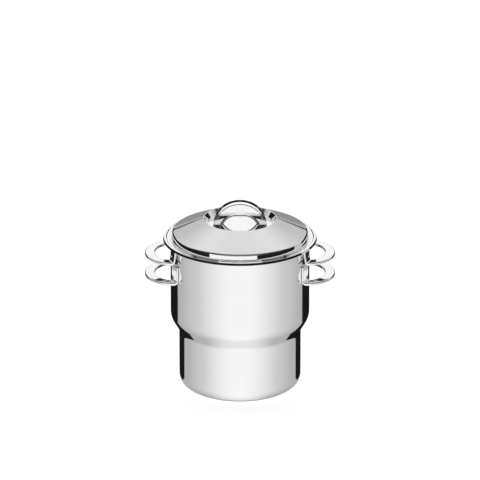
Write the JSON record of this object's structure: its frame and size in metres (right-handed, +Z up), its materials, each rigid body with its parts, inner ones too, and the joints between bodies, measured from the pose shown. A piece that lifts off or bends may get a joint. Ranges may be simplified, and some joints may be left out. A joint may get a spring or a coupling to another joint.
{
  "type": "couscous steamer",
  "caption": "Tall polished steel pot with a stepped body, a lift-out steamer with a perforated floor, looped side handles and a cone lid with an arched grip.",
  "frame": {"origin": "centre of the flat underside of the base", "axes": "+Z up along the pot's axis, +X through the middle of the right-hand handles, +Y towards the back"},
  "size_m": [0.2762, 0.223, 0.2855],
  "materials": {
    "polished_steel": "mirror-polished stainless steel sheet",
    "handle_steel": "polished stainless steel, bevelled edges",
    "satin_steel": "satin stainless steel sheet",
    "aluminium_core": "bare aluminium plate, hidden in the base",
    "screw_steel": "plain stainless screws and washers"
  },
  "bodies": {
    "pot": {"pot_body": "polished_steel", "base_cap": "polished_steel", "base_core": "aluminium_core", "pot_handle_right": "handle_steel", "pot_handle_left": "handle_steel"},
    "steamer": {"steamer_body": "polished_steel", "steamer_grid": "satin_steel", "steamer_handle_right": "handle_steel", "steamer_handle_left": "handle_steel"},
    "lid": {"lid_shell": "polished_steel", "lid_handle": "handle_steel", "lid_washer_right": "screw_steel", "lid_washer_left": "screw_steel", "lid_screw_right": "screw_steel", "lid_screw_left": "screw_steel"}
  },
  "joints": [
    {"name": "steamer_lift", "type": "slide", "parent": "pot", "child": "steamer", "axis": [0, 0, 1], "range_m": [0, 0.13]},
    {"name": "lid_lift", "type": "slide", "parent": "steamer", "child": "lid", "axis": [0, 0, 1], "range_m": [0, 0.15]}
  ]
}
